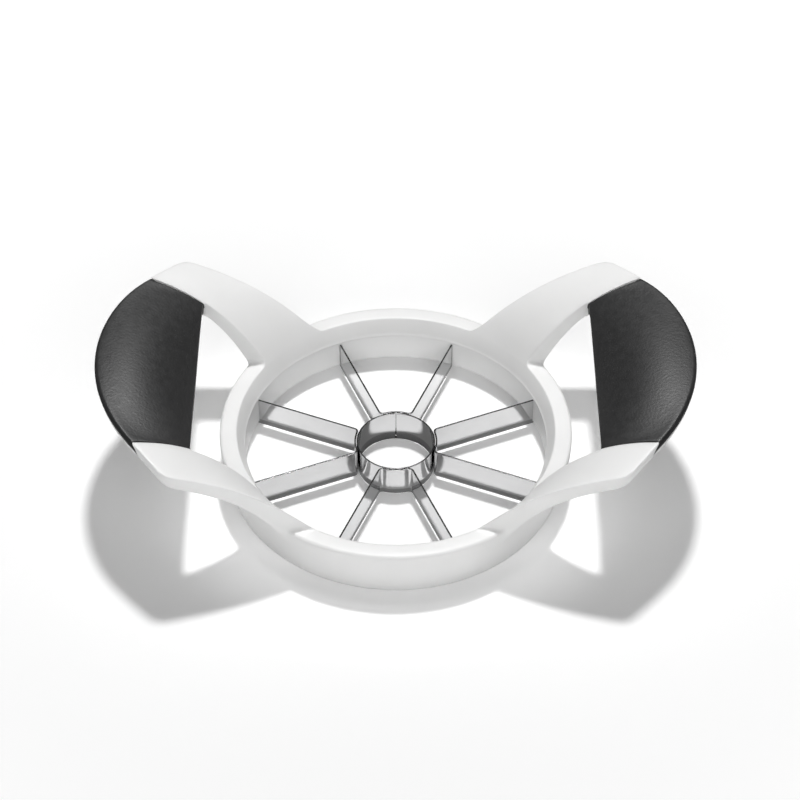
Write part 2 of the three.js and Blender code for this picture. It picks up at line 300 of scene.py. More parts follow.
def gripPoint(q, along, inset, depth):
    # q runs from 0 at the parting with the arm to 1 at the middle of the grip
    turn = gripShape["turnShare"]
    if q <= turn:
        inner = innerEdge(parting + (cornerEnd - parting) * q / turn)
    else:
        inner = innerEdge(cornerEnd + (1 - cornerEnd) * (q - turn) / (1 - turn))
    outer = gripArc(gripShape["cornerAngle"] * (1 - q))
    across = outer - inner
    along += inset / across.length
    spot = inner + across * along
    height, tilt = dishAt(spot.x, spot.y)
    rise = 1 - (1 - q) ** 2
    swell = gripShape["arch"] * rise - gripShape["dip"] * (1 - exp(-q * gripSide / gripShape["dipRun"]))
    swell += (gripShape["edgeArch"] * rise - swell) * along ** gripShape["edgeFade"]
    crown = gripShape["crown"] * rise * (1 - along) + swell
    return Vector((spot.x, spot.y, height + crown - depth * tilt))


def slantAt(depth):
    # the parting slants down the outer side, so the grip ends in a point under the arm's tip
    return gripShape["slant"] * min(depth / gripShape["lipDepth"], 1)


def sidePoint(q, inset, depth, gap=0):
    past = q * gripSide
    past -= (slantAt(depth) + gap) * max(1 - q / gripShape["slantEnd"], 0)
    if past < 0:
        return armPoint(1 + past / outerLength, 1, inset, depth)
    return gripPoint(past / gripSide, 1, inset, depth)


# White moulding: the ring with its funnel mouth, four arms and the bridges under the grips

ring = {
    "height": 0.0175,
    "rimOuter": 0.0535,
    "rimInner": 0.0484,
    "skirtTaper": 0.0027,
    "innerEdge": 0.0003,
    "outerEdge": 0.001,
    "funnelTop": 0.01715,
    "lipRadius": 0.0460,
    "lipLand": 0.00018,
    "lipEdge": 0.00008,
    "lipHeight": 0.0123,
    "seatHeight": 0.0120,
    "seatRadius": 0.0485,
    "lipLean": 0.00003,
    "lipBevel": 0.00005,
    "mouthBow": 0.16,  # how far the funnel's wall bows, as a share of its run
    "mouthSteps": 8,
    "mouthTop": (0.0483, 0.00014),  # radius and depth below the rim
    "innerEdgeTop": (0.4, 0.00003),  # share of the inner edge and depth below the rim
    "rimLines": (0.0494, 0.0507),
    "edgeSteps": 4,
    "footEdge": 0.0004,
    "footLean": 0.00003,
    "footBevel": 0.3,
    "seatEdge": 0.0002,
    "upperSteps": 3,  # down the skirt to where an arm's underside leaves it
    "lowerSteps": 9,
    "quarterSteps": 45,
    "easeRows": 5,  # lines down the funnel over which it stops following the arms' sides
}


def skirtRadius(z):
    top = ring["height"] - ring["outerEdge"]
    return ring["rimOuter"] - ring["skirtTaper"] * (1 - z / top) ** 2


def quarterTurn(radius, z, size, start, steps):
    # points of a rounded edge about a centre, turning clockwise from a start angle
    turns = [start - i * pi / 2 / steps for i in range(steps + 1)]
    return [(radius + size * cos(turn), z + size * sin(turn)) for turn in turns]


def ringProfile(meet):
    # outline of the ring's section; an arm's underside reaches the skirt at the height "meet"
    high, inner, outer = ring["height"], ring["innerEdge"], ring["outerEdge"]
    lip, seat, bevel = ring["lipRadius"], ring["seatRadius"], ring["lipBevel"]
    points = [(seat, ring["seatHeight"]), (lip + ring["lipEdge"], ring["seatHeight"])]
    points.append((lip, ring["seatHeight"] + ring["lipEdge"]))
    points.append((lip + ring["lipLean"], ring["lipHeight"] - bevel))
    points.append((lip + 0.5 * ring["lipLand"], ring["lipHeight"]))
    low = (lip + ring["lipLand"], ring["lipHeight"] + bevel)
    rise = (arm["rootRadius"] - low[0], ring["funnelTop"] - low[1])
    for i in range(1, ring["mouthSteps"] + 1):
        share = i / ring["mouthSteps"]
        bowed = share * (1 - ring["mouthBow"] + ring["mouthBow"] * share)
        points.append((low[0] + rise[0] * bowed, low[1] + rise[1] * share))
    patchStart = len(points) - 1
    mouthRadius, mouthDrop = ring["mouthTop"]
    edgeShare, edgeDrop = ring["innerEdgeTop"]
    points.append((mouthRadius, high - mouthDrop))
    points.append((ring["rimInner"] + edgeShare * inner, high - edgeDrop))
    points.append((ring["rimInner"] + inner, high))
    points += [(radius, high) for radius in ring["rimLines"]]
    points += quarterTurn(ring["rimOuter"] - outer, high - outer, outer, pi / 2, ring["edgeSteps"])
    top, upper, lower = high - outer, ring["upperSteps"], ring["lowerSteps"]
    for i in range(1, upper + 1):
        z = top + (meet - top) * i / upper
        points.append((skirtRadius(z), z))
    patchEnd = len(points) - 1
    points += [(skirtRadius(meet * i / lower), meet * i / lower) for i in range(lower - 1, 0, -1)]
    foot, footEdge = skirtRadius(0) + ring["footLean"], ring["footEdge"]
    points.append((skirtRadius(footEdge), footEdge))
    points.append((foot - ring["footBevel"] * footEdge, ring["footBevel"] * footEdge))
    points += [(foot - footEdge, 0), (seat + ring["seatEdge"], 0), (seat, ring["seatEdge"])]
    return points, patchStart, patchEnd


def sideAngle(edgeAt, radius):
    # the angle at which an arm's side crosses a circle, seen from above
    low, high = 0.0, arm["searchEnd"]
    for _ in range(arm["searchSteps"]):
        middle = (low + high) / 2
        low, high = (middle, high) if edgeAt(middle).length < radius else (low, middle)
    spot = edgeAt(low)
    return atan2(spot.y, spot.x), low


def extrudeAlong(piece, stations, spots):
    # each station is a function from a spot's number to its place
    for place in stations:
        bpy.ops.mesh.extrude_region()
        mesh = bmesh.from_edit_mesh(piece.data)
        layer = mesh.verts.layers.int["spot"]
        for vert in mesh.verts:
            if vert.select and vert[layer] in spots:
                vert.co = place(vert[layer])
        bmesh.update_edit_mesh(piece.data)


def spread(start, end, count):
    return [start + (end - start) * i / (count - 1) for i in range(count)]


def sideSection(top, bottom, wall):
    # (inset, depth) down one side: rounded top edge, wall, rounded lower edge
    turns = [0, pi / 6, pi / 3, pi / 2]
    upper = [(top * (1 - sin(a)), top * (1 - cos(a))) for a in turns]
    lower = [(bottom * (1 - sin(a)), wall - bottom * (1 - cos(a))) for a in reversed(turns)]
    return upper, lower


def makeMoulding():
    profile, patchStart, patchEnd = ringProfile(arm["skirtMeet"] - arm["underFillet"])
    meetProfile = ringProfile(arm["skirtMeet"])[0][patchStart:patchEnd + 1]
    count, columns = len(profile), arm["columns"]
    rows = patchEnd - patchStart
    bpy.ops.mesh.primitive_circle_add(vertices=count, radius=ring["rimInner"])
    piece = nameNew("frame_moulding")
    for vert, (radius, z) in zip(piece.data.vertices, profile):
        vert.co = (radius, 0, z)
    mesh = editMesh(piece)
    layer = mesh.verts.layers.int.new("spot")
    for i, vert in enumerate(mesh.verts):
        vert[layer] = i
    bmesh.update_edit_mesh(piece.data)
    bpy.ops.mesh.select_all(action="SELECT")
    bpy.ops.mesh.spin(steps=ring["quarterSteps"], angle=pi / 2, center=(0, 0, 0), axis=(0, 0, -1))
    bpy.ops.mesh.select_all(action="SELECT")
    bpy.ops.mesh.remove_doubles(threshold=mergeDistance)

    mesh = bmesh.from_edit_mesh(piece.data)
    layer = mesh.verts.layers.int["spot"]
    innerStart, outerStart = arm["innerAngle"], arm["outerAngle"]
    firstColumn = round(innerStart / (pi / 2) * ring["quarterSteps"])
    for vert in mesh.verts:
        radius, angle = hypot(vert.co.x, vert.co.y), atan2(vert.co.y, vert.co.x)
        row = vert[layer] - patchStart
        column = round(angle / (pi / 2) * ring["quarterSteps"]) - firstColumn
        inPatch = 0 <= row <= rows and 0 <= column <= columns
        vert[layer] = 1 + row * (columns + 1) + column if inPatch else 0
        if row <= -ring["easeRows"]:
            continue
        # the lines over the rim follow the arms' sides, less so down the funnel
        hold = min(1 + row / ring["easeRows"], 1)
        reach = max(radius, arm["rootRadius"])
        low = sideAngle(armInner, reach)[0] - arm["innerFillet"] / radius
        high = sideAngle(outerEdge, reach)[0] + arm["outerFillet"] / radius
        low, high = innerStart + (low - innerStart) * hold, outerStart + (high - outerStart) * hold
        if angle <= innerStart:
            angle *= low / innerStart
        elif angle >= outerStart:
            angle = pi / 2 - (pi / 2 - angle) * (pi / 2 - high) / (pi / 2 - outerStart)
        else:
            angle = low + (angle - innerStart) * (high - low) / (outerStart - innerStart)
        vert.co.x, vert.co.y = radius * cos(angle), radius * sin(angle)
    border = {vert[layer]: vert.co.copy() for vert in mesh.verts if vert[layer]}
    bpy.ops.mesh.select_mode(type="FACE")
    pickFaces(mesh, lambda face: all(vert[layer] for vert in face.verts))
    bmesh.update_edit_mesh(piece.data)

    innerMeet = sideAngle(armInner, skirtRadius(arm["skirtMeet"]))[1]
    outerMeet = sideAngle(outerEdge, skirtRadius(arm["skirtMeet"]))[1]

    gap = gripShape["gap"]
    tongue, tongueTop = gripShape["lipWidth"] + gap, gripShape["wall"] + gap
    flangeTop = gripShape["lipDepth"] + gap
    total, bridgeInset = gripShape["total"], gripShape["bridgeInset"]

    def armStation(u):
        def place(spot):
            row, column = divmod(spot - 1, columns + 1)
            share = column / columns
            meet = innerMeet + (outerMeet - innerMeet) * share
            lowU = meet + (1 - meet) * u
            rise = armPoint(u, share, 0, 0).z - ring["height"]
            edge = min(arm["edge"], max(arm["edgeShare"] * rise, arm["leastEdge"]))
            under, outerDraft = arm["underEdge"], arm["outerDraft"]
            if row == 0:
                return armPoint(u, share, edge * (1 - 2 * share), 0)
            wall = armWallAt(lowU, share)
            if row == rows:
                return armPoint(lowU, share, under * (1 - 2 * share) - outerDraft * share, wall)
            upper, lower = sideSection(edge, under, wall)
            way = 1 if column == 0 else -1
            draft = 0 if column == 0 else -outerDraft
            flangeStart = arm["flangeStart"]
            nearGrip = max((u - flangeStart) / (1 - flangeStart), 0) if column else 0

            def sunk(depth):
                return u - (slantAt(depth) + gap) * nearGrip / outerLength

            if row < 4:
                inset, depth = upper[row]
                return armPoint(sunk(depth), share, way * inset, depth)
            if row > rows - 4:
                inset, depth = lower[row - rows + 3]
                return armPoint(lowU, share, way * inset + draft, depth)
            start = armPoint(sunk(upper[-1][1]), share, 0, upper[-1][1])
            end = armPoint(lowU, share, draft, lower[0][1])
            flange = armPoint(sunk(flangeTop), share, 0, flangeTop)
            if row <= 6:
                split = start.lerp(flange, (row - 3) / 3)
            else:
                split = flange.lerp(end, (row - 6) / (rows - 9))
            return start.lerp(end, (row - 3) / (rows - 6)).lerp(split, nearGrip)
        return place

    def filletStation(t):
        armStart = armStation(arm["filletEnd"])

        def place(spot):
            row, column = divmod(spot - 1, columns + 1)
            radius, z = meetProfile[row]
            low, high = sideAngle(armInner, radius)[0], sideAngle(outerEdge, radius)[0]
            corner = Vector((*polar(radius, low + (high - low) * column / columns), z))
            return border[spot] * (1 - t) ** 2 + corner * 2 * t * (1 - t) + armStart(spot) * t ** 2
        return place

    def bridgeStation(q):
        def place(spot):
            row, column = divmod(spot - 1, columns + 1)
            share = column / columns
            if row == 0:
                return gripPoint(q, share, tongue * (1 - 2 * share), tongueTop)
            if row == rows:
                return gripPoint(q, share, tongue * (1 - share) - bridgeInset * share, total)
            if column == 0:
                return gripPoint(q, 0, tongue, tongueTop + (total - tongueTop) * row / rows)
            if row <= 3:
                return sidePoint(q, -tongue, tongueTop + (flangeTop - tongueTop) * row / 3, gap)
            if row <= 6:
                return sidePoint(q, -tongue + (tongue - bridgeInset) * (row - 3) / 3, flangeTop, gap)
            return gripPoint(q, 1, -bridgeInset, flangeTop + (total - flangeTop) * (row - 6) / (rows - 6))
        return place

    edgeSpots = {1 + row * (columns + 1) + column for row in range(rows + 1) for column in range(columns + 1)
                 if row in (0, rows) or column in (0, columns)}
    stations = [filletStation(i / arm["filletSteps"]) for i in range(1, arm["filletSteps"] + 1)]
    stations += [armStation(u) for u in (*arm["nearStations"], *spread(*arm["restStations"]))]
    bridgeShares = (*gripShape["bridgeNearStations"], *spread(*gripShape["bridgeRestStations"]))
    stations += [bridgeStation(q) for q in bridgeShares]
    extrudeAlong(piece, stations, edgeSpots)
    bpy.ops.mesh.delete(type="FACE")
    leaveEdit(piece)
    mirrorPiece(piece, (True, True, False))
    cleanAndSmooth(piece, 38)
    return piece


def gripLoop(columns):
    # one section round the grip: (along, inset, depth)
    g = gripShape
    edge, inner, lean, bevel = g["edge"], g["innerEdge"], g["innerLean"], g["bevel"]
    turns = [i * pi / 10 for i in range(6)]
    loop = [(share, inner * (1 - share) - edge * share, 0) for share in spread(0, 1, columns)]
    loop += [(1, -edge * (1 - sin(a)), edge * (1 - cos(a))) for a in turns[1:]]
    loop += [(1, 0, g["outerLine"]), (1, -bevel / 3, g["lipDepth"] - 2 * bevel / 3)]
    loop.append((1, -bevel, g["lipDepth"]))
    loop += [(1, -g["lipWidth"], g["lipDepth"]), (1, -g["lipWidth"], g["wall"])]
    inside = reversed(spread(0.1, 0.9, columns - 4))
    loop += [(share, g["lipWidth"] * (1 - 2 * share), g["wall"]) for share in inside]
    loop += [(0, g["lipWidth"], g["wall"]), (0, g["lipWidth"], g["total"])]
    loop.append((0, bevel + lean * g["total"], g["total"]))
    loop += [(0, lean * depth, depth) for depth in (g["total"] - bevel, *g["innerLines"])]
    loop += [(0, inner * (1 - sin(a)), inner * (1 - cos(a))) for a in reversed(turns[1:])]
    return loop


def makeGrip():
    g = gripShape
    loop = gripLoop(g["columns"])
    bpy.ops.mesh.primitive_circle_add(vertices=len(loop), radius=0.01, fill_type="NGON")
    piece = nameNew("grip_pad_right")
    mesh = editMesh(piece)
    layer = mesh.verts.layers.int.new("spot")
    for i, vert in enumerate(mesh.verts):
        vert[layer] = i + 1

    def station(q, sink):
        def place(spot):
            along, inset, depth = loop[spot - 1]
            if depth < g["endDepth"]:  # the end's upper edge is rounded over
                depth = max(depth, sink)
            if along == 1 and not (inset == -g["lipWidth"] and depth == g["wall"]):
                return sidePoint(q, inset, depth)
            return gripPoint(q, along, inset, depth)
        return place

    first = station(g["endStart"], g["endRounding"])
    for vert in mesh.verts:
        vert.co = first(vert[layer])
    bmesh.update_edit_mesh(piece.data)
    stations = []
    for i in range(1, g["endSteps"] + 1):
        turn = i * pi / 2 / g["endSteps"]
        q, sink = g["endStart"] + g["endRun"] * (1 - cos(turn)), g["endRounding"] * (1 - sin(turn))
        stations.append(station(q, sink))
    stations += [station(q, 0) for q in (*g["nearStations"], *spread(*g["restStations"]))]
    extrudeAlong(piece, stations, set(range(1, len(loop) + 1)))
    bpy.ops.mesh.delete(type="FACE")
    leaveEdit(piece)
    mirrorPiece(piece, (False, True, False))
    cleanAndSmooth(piece, 40)
    return piece


def mirroredCopy(piece, name):
    copy = copyPiece(piece, name)
    bpy.ops.transform.resize(value=(-1, 1, 1), center_override=(0, 0, 0))
    bakePlace(copy)
    cleanAndSmooth(copy, 40)
    return copy


# Blade carrier ring, with a tight slot for each blade's end

carrier = {
    "inner": 0.0462,
    "outer": 0.0482,
    "low": 0.0023,
    "high": 0.0119,
    "slotTop": 0.0111,
    "slotDepth": 0.0012,
    "slotHalfWidth": 0.00028,
    "edge": 0.0002,
    "sectorSteps": 24,
}


def makeCarrier():
    c, edge = carrier, carrier["edge"]
    profile = [(c["inner"], c["low"] + edge), (c["inner"], c["slotTop"]), (c["inner"], c["high"] - edge)]
    profile += [(c["inner"] + edge, c["high"]), (c["outer"] - edge, c["high"])]
    profile += [(c["outer"], c["high"] - edge), (c["outer"], c["low"] + edge)]
    profile += [(c["outer"] - edge, c["low"]), (c["inner"] + edge, c["low"])]
    bpy.ops.mesh.primitive_circle_add(vertices=len(profile), radius=c["inner"])
    piece = nameNew("blade_carrier")
    for vert, (radius, z) in zip(piece.data.vertices, profile):
        vert.co = (radius, 0, z)
    mesh = editMesh(piece)
    bpy.ops.mesh.select_all(action="SELECT")
    bpy.ops.mesh.spin(steps=c["sectorSteps"], angle=pi / 4, center=(0, 0, 0), axis=(0, 0, -1))
    bpy.ops.mesh.select_all(action="SELECT")
    bpy.ops.mesh.remove_doubles(threshold=mergeDistance)
    mesh = bmesh.from_edit_mesh(piece.data)
    step, middle = pi / 4 / c["sectorSteps"], pi / 8
    slotTurn = c["slotHalfWidth"] / c["inner"]
    for vert in mesh.verts:  # the two lines beside each blade close in on it
        radius, angle = hypot(vert.co.x, vert.co.y), atan2(vert.co.y, vert.co.x)
        if abs(abs(angle - middle) - step) < step / 4:
            angle = middle + (slotTurn if angle > middle else -slotTurn)
            vert.co.x, vert.co.y = radius * cos(angle), radius * sin(angle)

    def behindBlade(face):
        spot = face.calc_center_median()
        onWall = hypot(spot.x, spot.y) < c["inner"] + edge / 4 and spot.z < c["slotTop"]
        return onWall and abs(atan2(spot.y, spot.x) - middle) < slotTurn

    bpy.ops.mesh.select_mode(type="FACE")
    pickFaces(mesh, behindBlade)
    bmesh.update_edit_mesh(piece.data)
    outward = polar(c["slotDepth"], middle)
    bpy.ops.mesh.extrude_region_move(TRANSFORM_OT_translate={"value": (outward.x, outward.y, 0)})
    bpy.ops.mesh.select_all(action="SELECT")
    bpy.ops.mesh.spin(dupli=True, steps=8, angle=2 * pi, center=(0, 0, 0), axis=(0, 0, -1))
    leaveEdit(piece)
    cleanAndSmooth(piece, 35)
    return piece


# Coring tube: rolled steel, butted at the back

corer = {
    "radius": 0.012,
    "wall": 0.00045,
    "low": 0.0003,
    "high": 0.0111,
    "groundHeight": 0.003,
    "groundWall": 0.00012,
    "groundLean": 0.00003,
    "groundEase": 0.0003,
    "seam": 0.0002,
    "weld": (0.0, 0.01156, 0.0009),
    "weldRadius": 0.00036,
    "edge": 0.0001,
    "flatKeeper": 0.0002,  # lines beside the edges that keep the polished faces flat
    "segments": 160,
}


def makeCorer():
    c, edge = corer, corer["edge"]
    outer, inner = c["radius"], c["radius"] - c["wall"]
    ground, keep = c["low"] + c["groundHeight"], c["flatKeeper"]
    low, high = c["low"], c["high"]
    profile = [(inner + c["groundWall"], low), (outer - c["groundLean"], ground - c["groundEase"])]
    profile.append((outer, ground))
    profile += [(outer, ground + keep), (outer, high - edge - keep), (outer, high - edge)]
    profile += [(outer - edge / 3, high - edge / 3), (outer - edge, high), (inner + edge, high)]
    profile += [(inner + edge / 3, high - edge / 3), (inner, high - edge), (inner, high - edge - keep)]
    profile += [(inner, low + keep), (inner, low)]
    halfGap = c["seam"] / 2 / outer
    start = polar(1, pi / 2 + halfGap)
    bpy.ops.mesh.primitive_circle_add(vertices=len(profile), radius=outer)
    piece = nameNew("coring_tube")
    for vert, (radius, z) in zip(piece.data.vertices, profile):
        vert.co = (radius * start.x, radius * start.y, z)
    editMesh(piece)
    bpy.ops.mesh.select_all(action="SELECT")
    bpy.ops.mesh.spin(steps=c["segments"], angle=2 * pi - 2 * halfGap, center=(0, 0, 0), axis=(0, 0, -1))
    bpy.ops.mesh.select_all(action="SELECT")
    bpy.ops.mesh.remove_doubles(threshold=mergeDistance)
    bpy.ops.mesh.select_all(action="SELECT")
    bpy.ops.mesh.fill_holes(sides=len(profile))
    bpy.ops.object.mode_set(mode="OBJECT")
    cleanAndSmooth(piece, 30)
    deselectAll()
    size, place = c["weldRadius"], c["weld"]
    bpy.ops.mesh.primitive_uv_sphere_add(segments=20, ring_count=12, radius=size, location=place)
    weld = nameNew("seam_weld")
    bakePlace(weld)
    cleanAndSmooth(weld, 60)
    piece.select_set(True)
    bpy.context.view_layer.objects.active = piece
    bpy.ops.object.join()
    return piece


# Blade strips: flat strip bent round the coring tube, so each makes two blades

strip = {
    "endRadius": 0.0472,
    "hugRadius": 0.01245,
    "bendRadius": 0.0013,
    "thickness": 0.0005,
    "low": 0.001,
    "high": 0.0111,
    "groundHeight": 0.0021,
    "groundThickness": 0.00012,
    "edge": 0.00007,
    "flatKeeper": 0.0002,
    "steps": 8,  # along each stretch of its path
}


def stripPath():
    b = strip
    along = polar(1, -pi / 8)
    across = Vector((-along.y, along.x))
    reach = sqrt((b["hugRadius"] + b["bendRadius"]) ** 2 - b["bendRadius"] ** 2)
    bend = along * reach + across * b["bendRadius"]
    steps = b["steps"]
    half = [along * (reach + (b["endRadius"] - reach) * (1 - i / steps)) for i in range(steps + 1)]
    startAngle = atan2(-across.y, -across.x) + 2 * pi
    endAngle = atan2(-bend.y, -bend.x)
    endAngle += 2 * pi if endAngle < 0 else 0
    for i in range(1, steps + 1):
        half.append(bend + polar(b["bendRadius"], startAngle + (endAngle - startAngle) * i / steps))
    hugAngle = atan2(bend.y, bend.x)
    half += [polar(b["hugRadius"], hugAngle * (1 - i / steps)) for i in range(1, steps + 1)]
    return half + [Vector((point.x, -point.y)) for point in reversed(half[:-1])]


def makeStrip():
    b = strip
    path = stripPath()
    ground, keep = b["low"] + b["groundHeight"], b["flatKeeper"]
    levels = [b["low"], ground, ground + keep, b["high"] - keep, b["high"]]
    bpy.ops.mesh.primitive_grid_add(x_subdivisions=len(path) - 1, y_subdivisions=len(levels) - 1, size=2)
    piece = nameNew("blade_pair_right")
    thinned = piece.vertex_groups.new(name="ground")
    for vert in piece.data.vertices:  # the flat strip is stood up and bent
        step = round((vert.co.x + 1) / 2 * (len(path) - 1))
        row = round((vert.co.y + 1) / 2 * (len(levels) - 1))
        vert.co = (path[step].x, path[step].y, levels[row])
        thinned.add([vert.index], 1.0 if row else b["groundThickness"] / b["thickness"], "REPLACE")
    applyModifier(piece, "SOLIDIFY", thickness=b["thickness"], offset=0, vertex_group="ground")
    applyModifier(piece, "BEVEL", width=b["edge"], segments=2, limit_method="ANGLE", angle_limit=radians(60))
    cleanAndSmooth(piece, 30)
    return piece


def turnedCopy(piece, name, angle):
    copy = copyPiece(piece, name)
    copy.rotation_euler.z = angle
    bakePlace(copy)
    return copy


# Finishes

def startMaterial(name, **values):
    material = bpy.data.materials.new(name)
    material.use_nodes = True
    nodes = material.node_tree.nodes
    shader = nodes["Principled BSDF"]
    for socket, value in values.items():
        shader.inputs[socket.replace("_", " ")].default_value = value
    place = nodes.new("ShaderNodeTexCoord")
    return material, shader, place.outputs["Object"]


def addNode(material, kind, links=None, **values):
    node = material.node_tree.nodes.new(kind)
    for key, value in values.items():
        if hasattr(node, key):
            setattr(node, key, value)
        else:
            node.inputs[key.replace("_", " ")].default_value = value
    for key, output in (links or {}).items():
        material.node_tree.links.new(output, node.inputs[key])
    return node


def noise(material, place, scale, detail=2, roughness=0.5, stretch=(1, 1, 1)):
    mapping = addNode(material, "ShaderNodeMapping", {"Vector": place}, Scale=stretch)
    return addNode(material, "ShaderNodeTexNoise", {"Vector": mapping.outputs["Vector"]},
                   Scale=scale, Detail=detail, Roughness=roughness).outputs["Fac"]


def shades(material, factor, dark, pale, low=0.3, high=0.7):
    ramp = addNode(material, "ShaderNodeValToRGB", {"Fac": factor})
    ramp.color_ramp.elements[0].position = low
    ramp.color_ramp.elements[1].position = high
    ramp.color_ramp.elements[0].color = (*dark, 1)
    ramp.color_ramp.elements[1].color = (*pale, 1)
    return ramp.outputs["Color"]


def setInput(material, node, socket, value):
    # a socket takes a number, or the link from another node
    if isinstance(value, bpy.types.NodeSocket):
        material.node_tree.links.new(value, node.inputs[socket])
    else:
        node.inputs[socket].default_value = value


def between(material, value, start, end, before, after, way="LINEAR"):
    # goes from one value to another between two places
    node = addNode(material, "ShaderNodeMapRange", {"Value": value}, interpolation_type=way)
    for socket, number in (("From Min", start), ("From Max", end), ("To Min", before), ("To Max", after)):
        setInput(material, node, socket, number)
    return node.outputs["Result"]


def stepped(material, value, start, end, before, after):
    return between(material, value, start, end, before, after, "SMOOTHSTEP")


def ranged(material, factor, low, high):
    # noise lies mostly within its middle part
    return between(material, factor, 0.3, 0.7, low, high)


def calculate(material, operation, *values):
    return addNode(material, "ShaderNodeMath", dict(enumerate(values)), operation=operation).outputs["Value"]


def forRays(material, rays, kind, value, otherwise):
    # one value for this kind of ray, another for the rest
    node = addNode(material, "ShaderNodeMix", {"Factor": rays.outputs[kind]})
    setInput(material, node, "A", otherwise)
    setInput(material, node, "B", value)
    return node.outputs["Result"]


def bump(material, height, strength, distance):
    node = addNode(material, "ShaderNodeBump", {"Height": height}, Strength=strength, Distance=distance)
    return node.outputs["Normal"]


def join(material, shader, **outputs):
    for socket, output in outputs.items():
        material.node_tree.links.new(output, shader.inputs[socket.replace("_", " ")])


whitePlastic = {
    "dark": (0.87, 0.87, 0.865),
    "pale": (0.90, 0.90, 0.895),
    "roughness": (0.4, 0.48),
    "grainScale": 1400,
    "grain": (0.08, 0.00002),  # strength and depth
    "soft": 0.35,  # how much of the light passes into it
    "softDepth": 0.003,
}


def makeWhitePlastic():
    w = whitePlastic
    material, shader, place = startMaterial("moulded_white", IOR=1.5, Subsurface_Weight=w["soft"],
                                            Subsurface_Radius=(1, 1, 1), Subsurface_Scale=w["softDepth"])
    cloud = noise(material, place, 40, 3)
    fine = noise(material, place, w["grainScale"], 2)
    join(material, shader,
         Base_Color=shades(material, cloud, w["dark"], w["pale"]),
         Roughness=ranged(material, cloud, *w["roughness"]),
         Normal=bump(material, fine, *w["grain"]))
    return material


steel = {
    "dark": (0.67, 0.67, 0.673),
    "pale": (0.73, 0.73, 0.733),
    "rampHeight": 0.012,
    "seam": (0.00015, 0.00021, 0.15),  # half width, where its shade ends, and the light it keeps
    "smooth": (0.03, 0.07),
    "dullBelow": 0.5,
    "dullness": 0.2,
}


def makeSteel(name, low, groundHeight, high, seam=False):
    # polished faces, a ground band along the cutting edge and dull sheared edges; the foot, the ground band
    # and the top edge are also painted darker, partly for the duller steel there and partly as painted shade
    # for the dark floor shadow and room they reflect
    material, shader, place = startMaterial(name, Metallic=1.0)
    brushed = noise(material, place, 60, 4, 0.6, stretch=(1, 1, 60))
    scratches = noise(material, place, 500, 3, 0.7, stretch=(1, 1, 0.04))
    cloud = noise(material, place, 90, 2)
    spot = addNode(material, "ShaderNodeSeparateXYZ", {"Vector": place})
    level = between(material, spot.outputs["Z"], 0, steel["rampHeight"], 0, 1)
    zones = addNode(material, "ShaderNodeValToRGB", {"Fac": level})
    ground = low + groundHeight
    # painted shade, partly real: colour falls to 0.18 at the foot, 0.52 to 0.62 over the ground band and 0.12
    # at the top edge
    stops = [(low + 0.0001, 0.18), (low + 0.0003, 0.52), (ground - 0.0002, 0.62), (ground, 1.0),
             (high - 0.00014, 1.0), (high - 0.00007, 0.12)]
    ramp = zones.color_ramp
    while len(ramp.elements) < len(stops):
        ramp.elements.new(0.5)
    for element, (z, value) in zip(ramp.elements, stops):
        element.position = z / steel["rampHeight"]
        element.color = (value, value, value, 1)
    shade = zones.outputs["Color"]
    if seam:  # the butted edges at the back
        side = calculate(material, "ABSOLUTE", spot.outputs["X"])
        halfWidth, shadeEnd, depth = steel["seam"]
        beside = between(material, side, halfWidth, shadeEnd, depth, 1.0)
        behind = between(material, spot.outputs["Y"], 0.0, 0.001, 1.0, 0.0)
        dark = calculate(material, "MAXIMUM", beside, behind)
        shade = addNode(material, "ShaderNodeVectorMath", {0: shade, 1: dark}, operation="MULTIPLY")
        shade = shade.outputs["Vector"]
    plain = shades(material, cloud, steel["dark"], steel["pale"])
    colour = addNode(material, "ShaderNodeVectorMath", {0: plain, 1: shade}, operation="MULTIPLY")
    dull = between(material, zones.outputs["Color"], steel["dullBelow"], 1.0, steel["dullness"], 0.0)
    rough = calculate(material, "ADD", ranged(material, brushed, *steel["smooth"]), dull)
    join(material, shader, Base_Color=colour.outputs["Vector"], Roughness=rough,
         Normal=bump(material, scratches, 0.04, 0.00001))
    return material


softGrip = {
    "dark": (0.005, 0.005, 0.0052),
    "pale": (0.010, 0.010, 0.0103),
    "roughness": (0.43, 0.53),
    "grainScale": 1300,
    "grain": (0.8, 0.00007),
}


def makeSoftBlack():
    material, shader, place = startMaterial("soft_grip_black", IOR=1.65)
    mottle = noise(material, place, 420, 3, 0.6)
    fine = noise(material, place, softGrip["grainScale"], 1, 0.5)
    join(material, shader,
         Base_Color=shades(material, mottle, softGrip["dark"], softGrip["pale"]),
         Roughness=ranged(material, mottle, *softGrip["roughness"]),
         Normal=bump(material, fine, *softGrip["grain"]))
    return material


def finishPiece(piece, material, slot, *nodes):
    piece.data.materials.clear()
    piece.data.materials.append(material)
    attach(piece, "root")
    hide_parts(*nodes)


# Camera, floor and lights

scene = bpy.context.scene
scene.view_settings.view_transform = "Standard"

